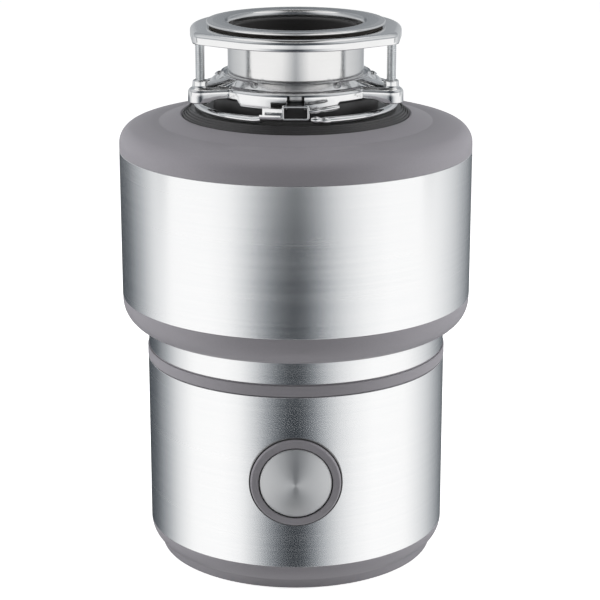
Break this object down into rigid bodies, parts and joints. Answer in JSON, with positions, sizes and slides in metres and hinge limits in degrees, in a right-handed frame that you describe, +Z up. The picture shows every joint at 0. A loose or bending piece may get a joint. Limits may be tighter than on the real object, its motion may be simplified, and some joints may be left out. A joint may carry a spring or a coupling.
{
  "type": "garbage disposal",
  "caption": "Under-sink food waste disposal: wide insulated grinding chamber over a narrower motor, steel wrapped, with its sink flange, screw clamp and locking ring on top.",
  "frame": {"origin": "on the machine's axis, at the height of the foot that it stands on", "axes": "+Z up along the shaft to the sink flange, -Y to the front with the round badge plate, +Y to the discharge outlet"},
  "size_m": [0.221, 0.221, 0.343],
  "materials": {
    "polished_steel": "polished stainless, mirror bright",
    "brushed_band": "stainless wrapper brushed round the body",
    "grey_plastic": "moulded grey plastic, fine satin grain",
    "black_rubber": "moulded black rubber",
    "zinc_steel": "zinc plated steel",
    "grey_fibre": "pressed fibre",
    "foam": "sound absorbing foam",
    "black_plastic": "moulded black plastic",
    "stainless": "plain stainless steel",
    "cast_aluminium": "die cast, as cast",
    "bronze": "sintered bronze",
    "lamination": "stacked electrical steel",
    "copper": "varnished copper wire",
    "shaft_steel": "ground steel",
    "red_plastic": "gloss red plastic"
  },
  "bodies": {
    "housing": {"sink_flange": "polished_steel", "upper_mounting_ring": "polished_steel", "snap_ring": "polished_steel", "cushion_mount": "black_rubber", "top_cover": "grey_plastic", "upper_band": "brushed_band", "lower_trim": "grey_plastic", "neck_band": "brushed_band", "belt_ring": "grey_plastic", "lower_band": "brushed_band", "badge_bezel": "grey_plastic", "badge_disc": "brushed_band", "bottom_cap": "grey_plastic", "motor_shell": "black_plastic", "front_insulation": "foam", "right_insulation": "foam", "left_insulation": "foam", "hopper": "stainless", "dishwasher_inlet": "black_plastic", "upper_end_bell": "cast_aluminium", "lower_end_bell": "cast_aluminium", "shredder_ring": "stainless", "stator_core": "lamination", "stator_winding": "copper", "upper_bush": "bronze", "lower_bush": "bronze", "shaft_seal": "black_rubber", "through_bolts": "zinc_steel", "start_capacitor": "black_plastic", "overload_protector": "black_plastic", "terminal_cover": "zinc_steel", "cover_screws": "zinc_steel", "base_screws": "zinc_steel", "joint_screws": "zinc_steel"},
    "rotor": {"motor_shaft": "shaft_steel", "rotor_core": "lamination", "shredder_plate": "stainless", "undercutter": "stainless", "plate_nut": "zinc_steel", "lug_rivets": "stainless"},
    "swivel_lug_1": {"swivel_lug_1": "stainless"},
    "swivel_lug_2": {"swivel_lug_2": "stainless"},
    "sink_clamp": {"backup_ring": "polished_steel", "fibre_gasket": "grey_fibre", "mounting_screws": "zinc_steel"},
    "lock_ring": {"lower_mounting_ring": "polished_steel"},
    "reset_button": {"reset_button": "red_plastic"},
    "baffle": {"sink_baffle": "black_rubber", "baffle_flaps": "black_rubber"}
  },
  "joints": [
    {"name": "rotor_spin", "type": "hinge", "parent": "housing", "child": "rotor", "pos_m": [0, 0, 0.1], "axis": [0, 0, 1], "continuous": true},
    {"name": "lug_1_swivel", "type": "hinge", "parent": "rotor", "child": "swivel_lug_1", "pos_m": [0.046, 0, 0.227], "axis": [0, 0, 1], "continuous": true},
    {"name": "lug_2_swivel", "type": "hinge", "parent": "rotor", "child": "swivel_lug_2", "pos_m": [-0.046, 0, 0.227], "axis": [0, 0, 1], "continuous": true},
    {"name": "clamp_slide", "type": "slide", "parent": "housing", "child": "sink_clamp", "axis": [0, 0, 1], "range_m": [-0.008, 0]},
    {"name": "lock_ring_turn", "type": "hinge", "parent": "housing", "child": "lock_ring", "pos_m": [0, 0, 0.2902], "axis": [0, 0, 1], "range_deg": [-25, 0]},
    {"name": "reset_press", "type": "slide", "parent": "housing", "child": "reset_button", "axis": [0, 0, 1], "range_m": [0, 0.0025], "stiffness_N_per_m": 400},
    {"name": "baffle_lift", "type": "slide", "parent": "housing", "child": "baffle", "axis": [0, 0, 1], "range_m": [0, 0.06]}
  ]
}
